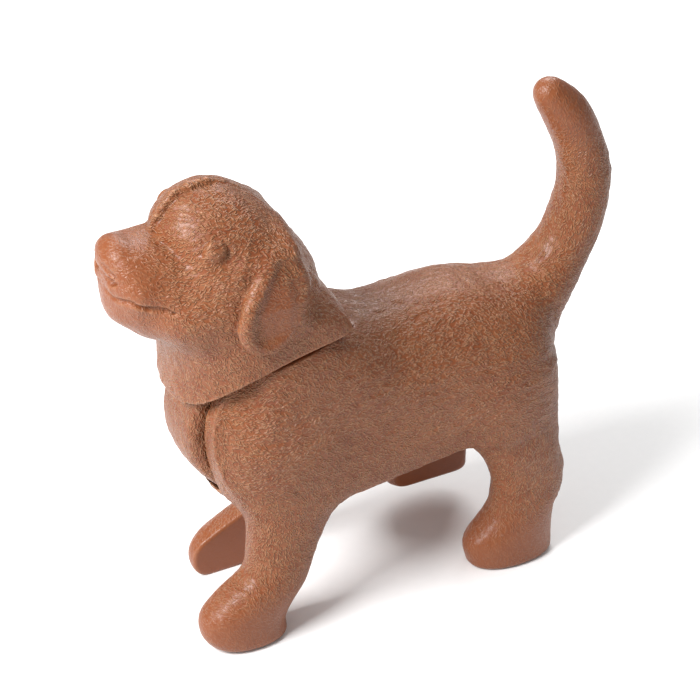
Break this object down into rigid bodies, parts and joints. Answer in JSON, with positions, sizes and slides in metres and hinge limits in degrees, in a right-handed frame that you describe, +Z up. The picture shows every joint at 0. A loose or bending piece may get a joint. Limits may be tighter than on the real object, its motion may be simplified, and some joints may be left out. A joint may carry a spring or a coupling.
{
  "type": "toy puppy figure with a nodding head",
  "caption": "Small moulded toy puppy standing with its tail up; its head and neck nod on a pin held between the body halves.",
  "frame": {"origin": "on the ground under the middle of the puppy's overall box", "axes": "+X towards the tail, +Z up, -Y the puppy's left side"},
  "size_m": [0.0548, 0.0188, 0.0518],
  "materials": {
    "coat": "satin moulded plastic with fine engraved fur",
    "pin": "plain moulded plastic rod"
  },
  "bodies": {
    "body": {"body_left": "coat", "body_right": "coat", "neck_pin": "pin"},
    "head": {"head_left": "coat", "head_right": "coat"}
  },
  "joints": [
    {"name": "head_nod", "type": "hinge", "parent": "body", "child": "head", "pos_m": [-0.0106, 0, 0.0252], "axis": [0, -1, 0], "range_deg": [-2, 30]}
  ]
}
